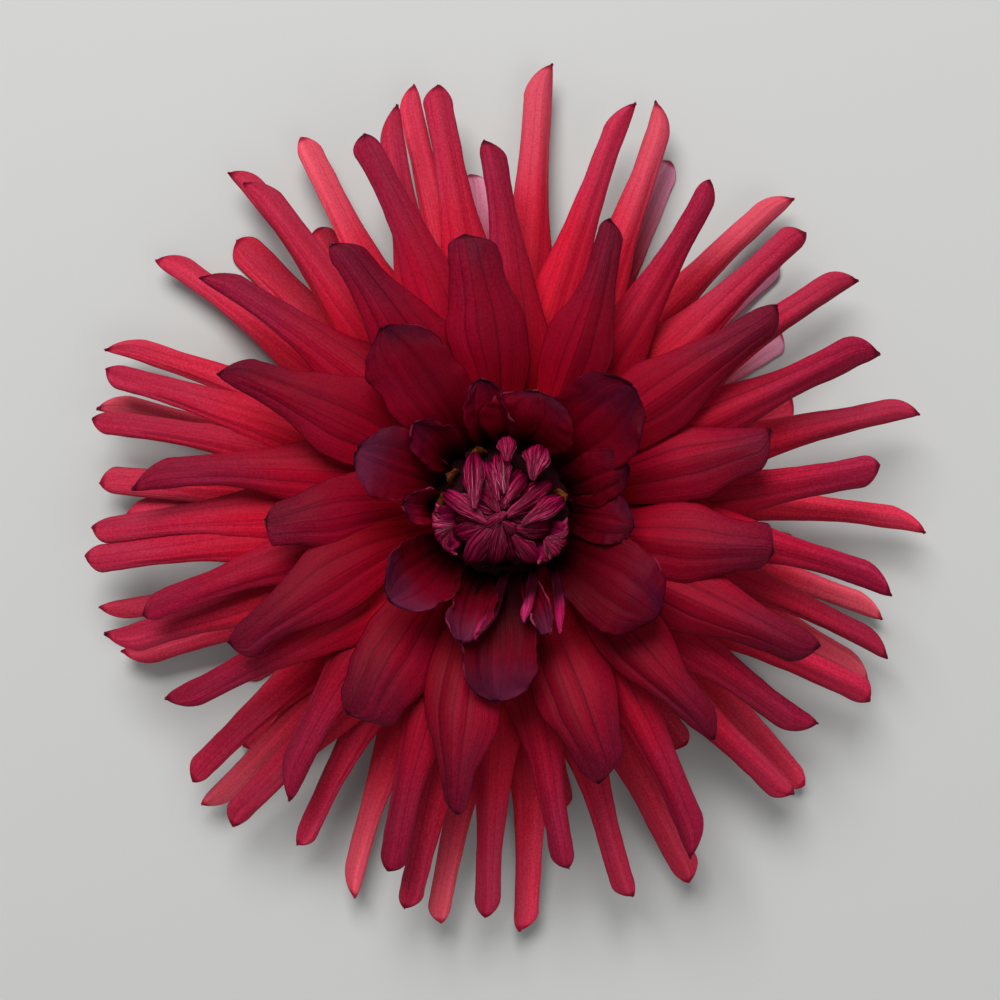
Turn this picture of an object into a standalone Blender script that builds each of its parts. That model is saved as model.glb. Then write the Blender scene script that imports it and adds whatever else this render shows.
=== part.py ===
"""Semi-cactus dahlia bloom, picked close under its calyx and lying face up on its back petals.

Sizes are in millimetres and angles in degrees until a mesh is made, which is in metres. A bearing is
counted clockwise from +Y, seen from above. The bloom's axis is +Z and the surface it lies on is z = 0.
"""

import math
import random
from dataclasses import dataclass, replace

import bmesh
import bpy

MM = 0.001
SEED = 17

# The bloom's axis, set so that the middle of its outline lies over the origin.
AXIS_X = -0.8
AXIS_Y = -2.4

# The stack from the cut stem up to the heart, each piece seated on the one below it.
SEAT_GAP = 0.3
STEM_RADIUS = 3.2
STEM_CUT = 0.6
CALYX_TOP = 14.0
CALYX_RADIUS = 13.4
CORE_BOTTOM = CALYX_TOP + SEAT_GAP
CORE_RADIUS = 15.4
CORE_TOP = 25.0
CORE_TOP_RADIUS = 13.6
BUTTON_BOTTOM = CORE_TOP + SEAT_GAP
BUTTON_RADIUS = 13.2
BUTTON_TOP = 30.0
BUTTON_TOP_RADIUS = 12.4
SCALES_FOOT = BUTTON_TOP + SEAT_GAP
SCALES_INNER_RADIUS = 8.6
SCALES_OUTER_RADIUS = 10.6
HEART_FOOT = BUTTON_TOP + SEAT_GAP
HEART_FOOT_RADIUS = 8.1
ROUND_SIDES = 24

# Where along a blade its last full section lies, before the point.
BLUNT_END = 0.96

# Bearing, reach and sideways bow of each open petal, row by row from the middle out.
LEAD_PETALS = (
    (21, 56, -7), (55, 62, 1), (76, 51, 0), (98, 50, -5), (115, 63, 0), (136, 57, 3), (158, 53, 1),
    (189, 56, -5), (213, 47, -3), (242, 55, -10), (266, 43, -5), (297, 57, -6), (329, 57, -6),
    (353, 50, -4),
)  # fmt: skip

# Half width of each lead petal, where along it is widest, and how much of that it keeps at its end.
LEAD_FORMS = (
    (8.0, 0.5, 0.36), (8.8, 0.5, 0.4), (9.4, 0.66, 0.5), (9.8, 0.64, 0.5), (8.6, 0.55, 0.45),
    (8.0, 0.55, 0.36), (10.4, 0.66, 0.48), (9.4, 0.62, 0.24), (11.0, 0.64, 0.62), (9.2, 0.55, 0.44),
    (9.2, 0.62, 0.52), (9.6, 0.5, 0.38), (9.6, 0.5, 0.42), (9.8, 0.6, 0.55),
)  # fmt: skip
SECOND_PETALS = (
    (33, 73, -6), (66, 76, -3), (84, 71, -6), (101, 74, 9), (126, 72, 0), (150, 73, 11), (170, 69, 0),
    (197, 71, -6), (218, 66, -14), (239, 72, 4), (254, 70, -7), (275, 68, -12), (309, 71, -8),
    (339, 74, -9), (358, 69, -9),
)  # fmt: skip
THIRD_PETALS = (
    (17, 82, 5), (47, 79, 0), (56, 82, 1), (76, 82, 2), (110, 79, 10), (117, 80, -3), (135, 79, -2),
    (162, 79, 3), (182, 79, 0), (193, 79, 0), (211, 76, -8), (221, 80, 6), (229, 80, -5), (251, 80, 4),
    (263, 81, -2), (267, 79, -6), (282, 81, -7), (289, 81, -5), (323, 80, -1), (344, 79, 10),
    (351, 83, -3),
)  # fmt: skip
FOURTH_PETALS = (
    (5, 88, -1), (22, 85, -5), (42, 83, 8), (92, 82, 9), (105, 78, 6), (114, 79, 8), (133, 81, 8),
    (153, 82, 1), (177, 83, 8), (189, 82, 4), (202, 81, -10), (224, 83, -1), (248, 80, 6), (255, 81, 7),
    (270, 74, -7), (274, 79, 0), (285, 82, 0), (293, 83, -9), (307, 84, -1), (322, 85, 0), (332, 83, 2),
    (347, 85, -1),
)  # fmt: skip
BACK_PETALS = (
    (26, 77, -3), (49, 75, 0), (59, 69, 0), (70, 62, 0), (98, 60, 0), (126, 66, 0), (143, 60, 0),
    (170, 62, 0), (197, 62, 0), (227, 70, 0), (238, 62, 0), (263, 64, 0), (299, 54, 0), (315, 75, 0),
    (326, 67, 0), (341, 62, 0), (355, 67, 0),
)  # fmt: skip

# Bearing, reach, tip height, half width, dip, roll at the root and at the tip, bow and twist of each
# cupped petal round the heart.
CUPPED_PETALS = (
    (18, 22, 43.5, 7.8, 10, -40, -20, 1, 10),
    (47, 32, 45.0, 8.6, -6, -38, -24, 0, -6),
    (71, 24, 42.0, 5.0, 4, -30, 14, -1, -12),
    (97, 24, 41.0, 5.0, -4, -40, 12, 1, 14),
    (124, 34, 44.0, 8.6, 6, -34, 18, 0, 0),
    (160, 24, 42.0, 3.2, -30, -60, -66, 0, 8),
    (181, 35, 38.0, 7.8, 14, -40, -30, 0, 0),
    (197, 25, 42.0, 5.2, -26, -30, -52, -1, -10),
    (231, 26, 44.0, 7.6, -34, -48, -44, 0, 6),
    (273, 21, 41.5, 5.0, -16, -40, -12, 1, 10),
    (292, 28, 44.0, 6.6, 8, -44, 10, -1, -8),
    (314, 22, 42.5, 5.0, -24, -56, -40, 0, 0),
    (327, 39, 42.0, 7.9, 10, -20, 26, -2, 0),
    (351, 23.5, 43.5, 5.4, 0, -56, -60, -1, 0),
)

# Bearing, reach, tip height and bow of the small curled florets between the cupped petals.
STRAY_FLORETS = (
    (155, 23.0, 43.4, 8),
    (169, 19.6, 42.6, 6),
    (192, 23.0, 43.2, 6),
)

# The closed florets of the heart, each bent in over it: fold x and y and tip x and y, counted from the
# middle of the heart, then half width, tip height, and where its foot stands between tip and fold.
HEART_FLORETS = (
    (-4.9, 11.0, -4.9, 1.2, 2.2, 42.6, 0.45),
    (7.2, 12.2, 5.6, 6.3, 2.9, 42.4, 0.05),
    (1.0, 13.4, 1.2, 9.6, 2.1, 41.4, -0.5),
    (-10.2, 3.8, -2.4, -1.4, 1.8, 41.4, 0.45),
    (11.2, 2.8, 3.7, -1.6, 2.0, 42.2, 0.4),
    (-6.3, -8.4, 0.0, 0.0, 2.9, 40.8, 0.5),
    (-1.4, -8.7, 0.0, -1.4, 2.2, 41.2, 0.5),
    (6.3, -8.2, 2.1, -3.8, 2.4, 41.0, 0.3),
    (4.5, 7.0, 0.5, 1.9, 1.5, 42.0, 0.6),
    (-0.3, 11.0, 0.7, 3.8, 2.2, 41.0, 0.4),
    (9.0, 5.9, 1.0, -0.3, 1.6, 41.8, 0.45),
    (-3.5, 4.9, -0.3, 0.5, 1.4, 42.0, 0.6),
    (-4.4, -2.9, 0.9, 0.4, 1.3, 42.6, 0.6),
    (3.6, -3.6, 0.3, -1.2, 1.3, 42.0, 0.6),
    (-8.4, -3.4, -2.0, -1.6, 2.2, 40.2, 0.5),
    (8.6, -2.6, 2.6, -2.4, 2.2, 40.6, 0.5),
    (-2.6, 9.4, -0.6, 2.6, 1.9, 40.2, 0.5),
)
HEART_X = -0.2
HEART_Y = -1.1

# Bearing and half width of the two broad boat-shaped florets at the heart's rim.
RIM_FLORETS = ((251, 4.4), (124, 4.4))

# Bearing, reach and tip height of the ochre scales at the heart's foot.
SCALE_PLACES = (
    (28, 12.0, 34.4), (79, 12.0, 34.6), (110, 11.6, 33.8), (148, 11.2, 33.2), (178, 11.2, 33.2),
    (210, 11.2, 33.2), (240, 11.4, 33.4), (278, 12.0, 34.6), (303, 11.8, 34.6), (337, 12.2, 34.6),
)  # fmt: skip


@dataclass(frozen=True)
class Petal:
    """One blade. Its shares run from 0 at the root to 1 at the tip, or are parts of its widest half width."""

    root_radius: float
    root_height: float
    rise: float
    reach: float
    tip_height: float
    dip: float
    half_width: float
    claw: float
    widest: float
    waist: float
    shoulder: float
    blunt: float
    root_roll: float
    tip_roll: float
    thickness: float
    arm: float = 0.36
    bearing: float = 0.0
    bow: float = 0.0
    twist: float = 0.0
    centre_x: float = AXIS_X
    centre_y: float = AXIS_Y


LEAD = Petal(
    root_radius=12.4,
    root_height=22.8,
    rise=36,
    reach=55,
    tip_height=37,
    dip=8,
    half_width=9.0,
    claw=0.3,
    widest=0.5,
    waist=0.6,
    shoulder=0.93,
    blunt=1.9,
    root_roll=14,
    tip_roll=66,
    thickness=1.3,
)
SECOND = replace(
    LEAD,
    root_radius=10.5,
    root_height=21.3,
    rise=24,
    reach=71,
    tip_height=26,
    dip=10,
    half_width=8.6,
    claw=0.26,
    widest=0.36,
    waist=0.45,
    tip_roll=98,
)
THIRD = replace(
    SECOND,
    root_height=19.5,
    rise=11,
    reach=80,
    tip_height=15,
    dip=10,
    half_width=8.0,
    tip_roll=102,
)
FOURTH = replace(
    THIRD,
    root_height=17.9,
    rise=2,
    reach=82,
    tip_height=7,
    dip=8,
    half_width=7.4,
    waist=0.48,
)
BACK = replace(
    FOURTH,
    root_height=16.7,
    rise=-9,
    reach=72,
    tip_height=0.2,
    dip=0,
    half_width=5.4,
    waist=0.6,
    root_roll=6,
    tip_roll=40,
)
CUPPED = replace(
    LEAD,
    root_radius=11.2,
    root_height=27.4,
    rise=60,
    reach=26,
    tip_height=43,
    dip=-12,
    claw=0.42,
    widest=0.66,
    waist=0.94,
    shoulder=0.7,
    blunt=2.6,
    root_roll=-44,
    tip_roll=-14,
    thickness=1.2,
)


STRAY = replace(
    CUPPED,
    root_radius=10.8,
    root_height=28.4,
    rise=66,
    dip=-30,
    half_width=2.5,
    claw=0.4,
    widest=0.82,
    waist=0.9,
    shoulder=0.82,
    blunt=1.5,
    root_roll=-40,
    tip_roll=70,
    thickness=0.9,
)


def scattered(template, places, draw):
    """One petal at each place, each a little different from the next and clear of its neighbours' height."""
    return [
        replace(
            template,
            bearing=bearing,
            reach=reach,
            bow=bow,
            root_height=template.root_height + (0.55 if i % 2 else -0.55),
            rise=template.rise + (2.5 if i % 2 else -2.5),
            tip_height=template.tip_height + draw.uniform(-1.8, 1.8) + (1.2 if i % 2 else -1.2),
            dip=template.dip + draw.uniform(-8, 8),
            half_width=template.half_width * draw.uniform(0.92, 1.1),
            waist=template.waist * draw.uniform(0.92, 1.1),
            blunt=template.blunt * draw.uniform(0.8, 1.25),
            twist=draw.uniform(-20, 20),
        )
        for i, (bearing, reach, bow) in enumerate(places)
    ]


def open_rows():
    """The open petals, in five rows, from the broad lead petals out to those that lie on the surface."""
    draw = random.Random(SEED)
    rows = (
        (LEAD, LEAD_PETALS),
        (SECOND, SECOND_PETALS),
        (THIRD, THIRD_PETALS),
        (FOURTH, FOURTH_PETALS),
        (BACK, BACK_PETALS),
    )
    rows = [scattered(template, places, draw) for template, places in rows]
    rows[0] = [
        replace(petal, half_width=half_width, widest=widest, waist=waist)
        for petal, (half_width, widest, waist) in zip(rows[0], LEAD_FORMS)
    ]
    return rows


def cupped_row():
    """The young spoon-shaped petals round the heart, and the small curled florets between them."""
    names = (
        "bearing",
        "reach",
        "tip_height",
        "half_width",
        "dip",
        "root_roll",
        "tip_roll",
        "bow",
        "twist",
    )
    return [replace(CUPPED, **dict(zip(names, values))) for values in CUPPED_PETALS]


def stray_florets():
    return [
        replace(STRAY, bearing=bearing, reach=reach, tip_height=tip_height, bow=bow)
        for bearing, reach, tip_height, bow in STRAY_FLORETS
    ]


def eased(share):
    """A smooth step from 0 to 1."""
    share = min(max(share, 0.0), 1.0)
    return share * share * (3 - 2 * share)


def width_share(petal, along):
    """How wide the blade is at a share of its length, as a part of its widest."""
    swell = petal.claw + (1 - petal.claw) * eased(along / petal.widest)
    taper = max(0.0, (along - petal.widest) / (1 - petal.widest))
    narrowing = 1 - (1 - petal.waist) * (0.6 * taper + 0.4 * eased(taper))
    closing = max(0.0, (along - petal.shoulder) / (1 - petal.shoulder))
    return swell * narrowing * max(0.0, 1 - closing**petal.blunt) ** 0.6


def spine(petal, along):
    """Radius, height and slope of the blade's middle line, a cubic curve from root to tip."""
    root = (petal.root_radius, petal.root_height)
    tip = (petal.reach, petal.tip_height)
    arm = math.dist(root, tip) * petal.arm
    rise = math.radians(petal.rise)
    dip = math.radians(-petal.dip)
    first = (root[0] + arm * math.cos(rise), root[1] + arm * math.sin(rise))
    second = (tip[0] - arm * math.cos(dip), tip[1] - arm * math.sin(dip))
    rest = 1 - along
    radius, height = (
        rest**3 * a + 3 * rest**2 * along * b + 3 * rest * along**2 * c + along**3 * d
        for a, b, c, d in zip(root, first, second, tip)
    )
    run, climb = (
        rest**2 * (b - a) + 2 * rest * along * (c - b) + along**2 * (d - c)
        for a, b, c, d in zip(root, first, second, tip)
    )
    return radius, height, math.atan2(climb, run)


def blade_point(petal, along, across, lift):
    """A point of the blade. across runs from -1 to 1, and lift is its distance above the middle sheet."""
    radius, height, slope = spine(petal, along)
    roll = petal.root_roll + (petal.tip_roll - petal.root_roll) * eased((along - 0.15) / 0.6)
    roll = math.radians(roll)
    arch = petal.half_width * width_share(petal, along) / roll
    side = (arch + lift) * math.sin(roll * across)
    up = (arch + lift) * math.cos(roll * across) - arch
    turn = math.radians(petal.twist) * along * along
    side, up = (
        side * math.cos(turn) - up * math.sin(turn),
        side * math.sin(turn) + up * math.cos(turn),
    )
    side += petal.bow * along * along
    radius -= up * math.sin(slope)
    height += up * math.cos(slope)
    bearing = math.radians(petal.bearing) - math.atan2(petal.bow, max(petal.reach, 1.0))
    x = petal.centre_x + radius * math.sin(bearing) + side * math.cos(bearing)
    y = petal.centre_y + radius * math.cos(bearing) - side * math.sin(bearing)
    return x, y, height


def blade(petal, steps, sides):
    """A closed blade with knife edges, as points and triangles. Both faces are split alike."""
    points = []
    faces = []
    rings = []
    alongs = [BLUNT_END * i / (steps - 1) for i in range(steps)]

    def add(along, across, lift):
        x, y, z = blade_point(petal, along, across, lift)
        points.append((x * MM, y * MM, max(z, petal.thickness if lift > 0 else 0.0) * MM))
        return len(points) - 1

    for along in alongs:
        left = add(along, -1.0, 0.0)
        right = add(along, 1.0, 0.0)
        inner = [2 * j / sides - 1 for j in range(1, sides)]
        half = petal.thickness / 2
        top = [left] + [add(along, a, half * (1 - a * a)) for a in inner] + [right]
        under = [left] + [add(along, a, -half * (1 - a * a)) for a in inner] + [right]
        rings.append((top, under))
    tip = add(1.0, 0.0, 0.0)
    for (top, under), (next_top, next_under) in zip(rings, rings[1:]):
        for j in range(sides):
            faces.append((top[j], top[j + 1], next_top[j + 1]))
            faces.append((top[j], next_top[j + 1], next_top[j]))
            faces.append((under[j], next_under[j + 1], under[j + 1]))
            faces.append((under[j], next_under[j], next_under[j + 1]))
    top, under = rings[-1]
    for j in range(sides):
        faces.append((top[j], top[j + 1], tip))
        faces.append((under[j + 1], under[j], tip))
    top, under = rings[0]
    for j in range(sides):
        if j > 0:
            faces.append((top[j + 1], top[j], under[j]))
        if j < sides - 1:
            faces.append((top[j + 1], under[j], under[j + 1]))
    return points, faces


def around(radius, height, sides):
    """The points of a circle round the axis."""
    turns = [2 * math.pi * i / sides for i in range(sides)]
    return [
        ((AXIS_X + radius * math.sin(a)) * MM, (AXIS_Y + radius * math.cos(a)) * MM, height * MM)
        for a in turns
    ]


def turned(profile, sides=ROUND_SIDES):
    """A solid of revolution from the (radius, height) corners of its outer side, bottom to top."""
    points = [point for corner in profile for point in around(*corner, sides)]
    faces = [tuple(range(sides)), tuple(range(len(points) - sides, len(points)))]
    for k in range(len(profile) - 1):
        for i in range(sides):
            j = (i + 1) % sides
            faces.append((k * sides + i, k * sides + j, (k + 1) * sides + j, (k + 1) * sides + i))
    return points, faces


def ring(section, sides=ROUND_SIDES):
    """A solid ring round the axis from the (radius, height) corners of its section."""
    points, faces = turned(section, sides)
    last = (len(section) - 1) * sides
    closing = [(last + i, last + (i + 1) % sides, (i + 1) % sides, i) for i in range(sides)]
    return points, faces[2:] + closing


def solid(name, shape):
    """A mesh object from points and faces, with its faces pointing out."""
    points, faces = shape
    mesh = bpy.data.meshes.new(name)
    mesh.from_pydata(points, [], faces)
    body = bmesh.new()
    body.from_mesh(mesh)
    bmesh.ops.recalc_face_normals(body, faces=body.faces)
    body.to_mesh(mesh)
    body.free()
    obj = bpy.data.objects.new(name, mesh)
    bpy.context.scene.collection.objects.link(obj)
    return obj


def fill_pockets(mesh):
    """Keeps the outer skin only, so that a pocket sealed in between the blades becomes solid."""
    body = bmesh.new()
    body.from_mesh(mesh)
    waiting = set(body.faces)
    skins = []
    while waiting:
        skin = [waiting.pop()]
        for face in skin:
            near = {other for edge in face.edges for other in edge.link_faces} & waiting
            waiting -= near
            skin.extend(near)
        skins.append(skin)
    skins.sort(key=len)
    bmesh.ops.delete(body, geom=[face for skin in skins[:-1] for face in skin], context="FACES")
    body.to_mesh(mesh)
    body.free()


def fused(name, body, blades, finish):
    """One solid: the blades joined to the body that they grow from."""
    obj = solid(name, body)
    growing = bpy.data.collections.new(name + "_blades")
    bpy.context.scene.collection.children.link(growing)
    for i, shape in enumerate(blades):
        leaf = solid(f"{name}_blade_{i}", shape)
        bpy.context.scene.collection.objects.unlink(leaf)
        growing.objects.link(leaf)
    join = obj.modifiers.new("join", "BOOLEAN")
    join.operation = "UNION"
    join.operand_type = "COLLECTION"
    join.collection = growing
    join.solver = "MANIFOLD"
    bpy.context.view_layer.update()
    graph = bpy.context.evaluated_depsgraph_get()
    joined = bpy.data.meshes.new_from_object(obj.evaluated_get(graph))
    obj.modifiers.clear()
    obj.data = joined
    for leaf in list(growing.objects):
        bpy.data.objects.remove(leaf)
    bpy.data.collections.remove(growing)
    fill_pockets(joined)
    joined.materials.clear()
    joined.materials.append(finish)
    joined.shade_smooth()
    joined.set_sharp_from_angle(angle=math.radians(40))
    return obj


def material(name, colour, roughness):
    """A plain finish in the part's colour."""
    made = bpy.data.materials.new(name)
    made.use_nodes = True
    shader = made.node_tree.nodes["Principled BSDF"]
    shader.inputs["Base Color"].default_value = (*colour, 1)
    shader.inputs["Roughness"].default_value = roughness
    shader.inputs["Metallic"].default_value = 0.0
    return made


SEPAL = Petal(
    root_radius=9.5,
    root_height=11.6,
    rise=-16,
    reach=26,
    tip_height=2.4,
    dip=36,
    half_width=4.2,
    claw=0.6,
    widest=0.5,
    waist=0.85,
    shoulder=0.66,
    blunt=2.0,
    root_roll=10,
    tip_roll=24,
    thickness=1.4,
)
SEPALS = 5
BRACT = replace(
    SEPAL,
    root_height=13.0,
    rise=-8,
    reach=25,
    tip_height=8.4,
    dip=22,
    half_width=5.4,
    claw=0.8,
    thickness=1.0,
)
BRACTS = 8


def calyx(finish):
    """The cut stem, the green cup, its ring of flat bracts and the five fleshy sepals bent back."""
    cup = turned(
        (
            (STEM_RADIUS, STEM_CUT),
            (STEM_RADIUS, 6.5),
            (4.6, 9.0),
            (9.0, 11.0),
            (12.4, 12.2),
            (CALYX_RADIUS, CALYX_TOP),
        )
    )
    sepals = [
        blade(replace(SEPAL, bearing=30 + i * 360 / SEPALS), 6, 4) for i in range(SEPALS)
    ]
    bracts = [
        blade(replace(BRACT, bearing=8 + i * 360 / BRACTS), 5, 4) for i in range(BRACTS)
    ]
    return fused("green_calyx", cup, sepals + bracts, finish)


def open_petals(finish):
    """The core and the five rows of open petals."""
    core = turned(
        (
            (CORE_RADIUS - 1.2, CORE_BOTTOM),
            (CORE_RADIUS, 17.5),
            (CORE_RADIUS - 0.4, 21.5),
            (CORE_TOP_RADIUS, CORE_TOP),
        )
    )
    sides = (4, 3, 3, 3, 3)
    steps = (7, 6, 6, 6, 5)
    blades = [
        blade(petal, steps[n], sides[n]) for n, row in enumerate(open_rows()) for petal in row
    ]
    return fused("open_petals", core, blades, finish)


def young_petals(finish):
    """The button on the core and the cupped dark petals round the heart."""
    button = turned(
        (
            (BUTTON_RADIUS, BUTTON_BOTTOM),
            (BUTTON_RADIUS + 0.2, 27.6),
            (BUTTON_TOP_RADIUS, BUTTON_TOP),
        )
    )
    petals = [blade(petal, 7, 4) for petal in cupped_row()]
    florets = [blade(petal, 6, 2) for petal in stray_florets()]
    return fused("young_petals", button, petals + florets, finish)


SCALE = Petal(
    root_radius=9.7,
    root_height=30.8,
    rise=50,
    reach=12.2,
    tip_height=34.5,
    dip=-10,
    half_width=1.7,
    claw=0.8,
    widest=0.5,
    waist=0.95,
    shoulder=0.5,
    blunt=2.6,
    root_roll=-30,
    tip_roll=30,
    thickness=0.9,
)


def ochre_scales(finish):
    """The ring of small ochre scales at the heart's foot."""
    foot = ring(
        (
            (SCALES_INNER_RADIUS, SCALES_FOOT),
            (SCALES_OUTER_RADIUS, SCALES_FOOT),
            (SCALES_OUTER_RADIUS, SCALES_FOOT + 1.2),
            (SCALES_INNER_RADIUS, SCALES_FOOT + 1.2),
        )
    )
    scales = [
        blade(replace(SCALE, bearing=bearing, reach=reach, tip_height=tip_height), 5, 2)
        for bearing, reach, tip_height in SCALE_PLACES
    ]
    return fused("ochre_scales", foot, scales, finish)


FLORET = Petal(
    root_radius=7.0,
    root_height=32.9,
    rise=13,
    reach=0.0,
    tip_height=41.0,
    dip=178,
    half_width=2.4,
    claw=0.6,
    widest=0.56,
    waist=0.8,
    shoulder=0.66,
    blunt=1.7,
    root_roll=-40,
    tip_roll=-56,
    thickness=1.0,
)
RIM_FLORET = replace(
    FLORET,
    root_radius=6.6,
    root_height=33.0,
    rise=24,
    reach=9.6,
    tip_height=40.6,
    dip=150,
    shoulder=0.5,
    blunt=2.2,
    arm=0.8,
)


def heart_florets():
    """The florets that bend in over the heart. The curve of each just reaches its fold."""
    florets = [
        replace(RIM_FLORET, bearing=bearing, half_width=half_width)
        for bearing, half_width in RIM_FLORETS
    ]
    for fold_x, fold_y, tip_x, tip_y, half_width, tip_height, foot in HEART_FLORETS:
        length = math.dist((fold_x, fold_y), (tip_x, tip_y))
        span = math.dist((foot * length, FLORET.root_height), (0.0, tip_height))
        florets.append(
            replace(
                FLORET,
                bearing=math.degrees(math.atan2(fold_x - tip_x, fold_y - tip_y)),
                root_radius=foot * length,
                tip_height=tip_height,
                half_width=half_width,
                arm=length * (1 - 0.62 * foot) / 0.73 / span,
                centre_x=AXIS_X + HEART_X + tip_x,
                centre_y=AXIS_Y + HEART_Y + tip_y,
            )
        )
    return florets


def heart(finish):
    """The closed florets at the middle, bent in over their own core."""
    core = turned(
        ((HEART_FOOT_RADIUS, HEART_FOOT), (HEART_FOOT_RADIUS, 33), (7.6, 36.0), (4.0, 38.6)),
        sides=16,
    )
    return fused("heart", core, [blade(petal, 7, 2) for petal in heart_florets()], finish)


def main():
    for obj in list(bpy.data.objects):
        bpy.data.objects.remove(obj)
    calyx(material("green_leaf", (0.20, 0.30, 0.08), 0.55))
    open_petals(material("crimson_petal", (0.45, 0.01, 0.03), 0.6))
    young_petals(material("maroon_petal", (0.17, 0.005, 0.02), 0.6))
    ochre_scales(material("ochre_scale", (0.36, 0.17, 0.04), 0.6))
    heart(material("magenta_floret", (0.40, 0.02, 0.13), 0.5))


main()
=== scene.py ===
"""The looks of a semi-cactus dahlia bloom that lies face up: its petals, heart, scales and calyx.

Sizes are worked out in millimetres and degrees, as in the part's source, and handed to Blender in metres and
radians. A bearing is counted clockwise from +Y, seen from above.
"""

import math
import random
from dataclasses import dataclass, replace

import bmesh
import bpy
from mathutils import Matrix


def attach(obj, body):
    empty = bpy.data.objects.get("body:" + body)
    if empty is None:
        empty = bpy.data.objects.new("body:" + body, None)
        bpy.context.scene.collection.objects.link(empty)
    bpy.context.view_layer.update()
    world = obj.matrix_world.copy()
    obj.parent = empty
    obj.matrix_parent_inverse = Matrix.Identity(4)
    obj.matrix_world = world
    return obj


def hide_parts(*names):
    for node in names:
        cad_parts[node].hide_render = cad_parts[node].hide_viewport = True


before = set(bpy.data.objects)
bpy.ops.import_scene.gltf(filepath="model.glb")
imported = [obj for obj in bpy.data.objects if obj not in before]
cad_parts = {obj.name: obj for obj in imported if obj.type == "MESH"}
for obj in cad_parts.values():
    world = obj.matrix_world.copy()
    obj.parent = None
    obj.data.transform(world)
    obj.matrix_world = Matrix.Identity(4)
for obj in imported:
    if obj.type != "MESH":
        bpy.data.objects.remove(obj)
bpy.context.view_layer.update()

MM = 0.001
SEED = 17
AXIS_X = -0.8
AXIS_Y = -2.4

# Bearing, reach, sideways bow and slant of the tip of each open petal, row by row from the middle out.
LEAD_PETALS = (
    (21, 56, -7, 0), (55, 62, 1, -1), (76, 51, 0, -1), (98, 50, -5, 0), (115, 63, 0, -1), (136, 57, 3, 1),
    (158, 53, 1, 1), (189, 56, -5, 0), (213, 47, -3, 1), (242, 55, -10, 1), (266, 43, -5, 0),
    (297, 57, -6, -1), (329, 57, -6, -1), (353, 50, -4, 0),
)  # fmt: skip

# Half width of each lead petal, where along it is widest, and how much of that it keeps at its end.
LEAD_FORMS = (
    (8.0, 0.5, 0.36), (8.8, 0.5, 0.4), (9.4, 0.66, 0.5), (9.8, 0.64, 0.5), (8.6, 0.55, 0.45),
    (8.0, 0.55, 0.36), (10.4, 0.66, 0.48), (9.4, 0.62, 0.24), (11.0, 0.64, 0.62), (9.2, 0.55, 0.44),
    (9.2, 0.62, 0.52), (9.6, 0.5, 0.38), (9.6, 0.5, 0.42), (9.8, 0.6, 0.55),
)  # fmt: skip
SECOND_PETALS = (
    (33, 73, -6, 0), (66, 76, -3, 1), (84, 71, -6, 0), (101, 74, 9, 1), (126, 72, 0, -1),
    (150, 73, 11, 1), (170, 69, 0, 0), (197, 71, -6, 0), (218, 66, -14, -1), (239, 72, 4, 1),
    (254, 70, -7, 0), (275, 68, -12, -1), (309, 71, -8, -1), (339, 74, -9, 0), (358, 69, -9, 0),
)  # fmt: skip
THIRD_PETALS = (
    (17, 82, 5, 1), (47, 79, 0, 0), (56, 82, 1, 1), (76, 82, 2, 1), (110, 79, 10, 1),
    (117, 80, -3, 0), (135, 79, -2, 0), (162, 79, 3, 0), (182, 79, 0, 0), (193, 79, 0, 0),
    (211, 76, -8, 0), (221, 80, 6, 0), (229, 80, -5, 0), (251, 80, 4, 1), (263, 81, -2, 0),
    (267, 79, -6, 0), (282, 81, -7, 0), (289, 81, -5, 0), (323, 80, -1, -1), (344, 79, 10, 1),
    (351, 83, -3, 0),
)  # fmt: skip
FOURTH_PETALS = (
    (5, 88, -1, 1), (22, 85, -5, -1), (42, 83, 8, 1), (92, 82, 9, 1), (105, 78, 6, 1),
    (114, 79, 8, 1), (133, 81, 8, 0), (153, 82, 1, 0), (177, 83, 8, 0), (189, 82, 4, 0),
    (202, 81, -10, -1), (224, 83, -1, 1), (248, 80, 6, 1), (255, 81, 7, 1), (270, 74, -7, -1),
    (274, 79, 0, 0), (285, 82, 0, -1), (293, 83, -9, -1), (307, 84, -1, -1), (322, 85, 0, -1),
    (332, 83, 2, 0), (347, 85, -1, 1),
)  # fmt: skip
BACK_PETALS = (
    (25.6, 77, -3, 0), (48, 74, 0, 0), (58, 66, 0, 0), (70, 62, 0, 0), (98, 60, 0, 0), (126, 66, 0, 0),
    (143, 60, 0, 0), (170, 62, 0, 0), (197, 62, 0, 0), (227, 70, 0, 0), (238, 62, 0, 0),
    (263, 64, 0, 0), (299, 54, 0, 0), (315, 75, 0, 0), (326, 67, 0, 0), (341, 62, 0, 0),
    (355, 67, 0, 0),
)  # fmt: skip

# Bearings of the outermost petals whose tips have faded to salmon pink, of the pink ones below them, of the
# cupped petals whose tips have turned a greyish purple, and of those that are painted nearly black inside as
# painted shade.
FADED_TIPS = (5, 22, 42, 105, 114, 189, 202, 224, 285, 332)
PINK_BACKS = (25.6, 48, 58, 355)
DUSKY_TIPS = (160, 181, 197, 231, 292)
SHADED_CUPS = (71, 97, 273, 314, 351)

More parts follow.
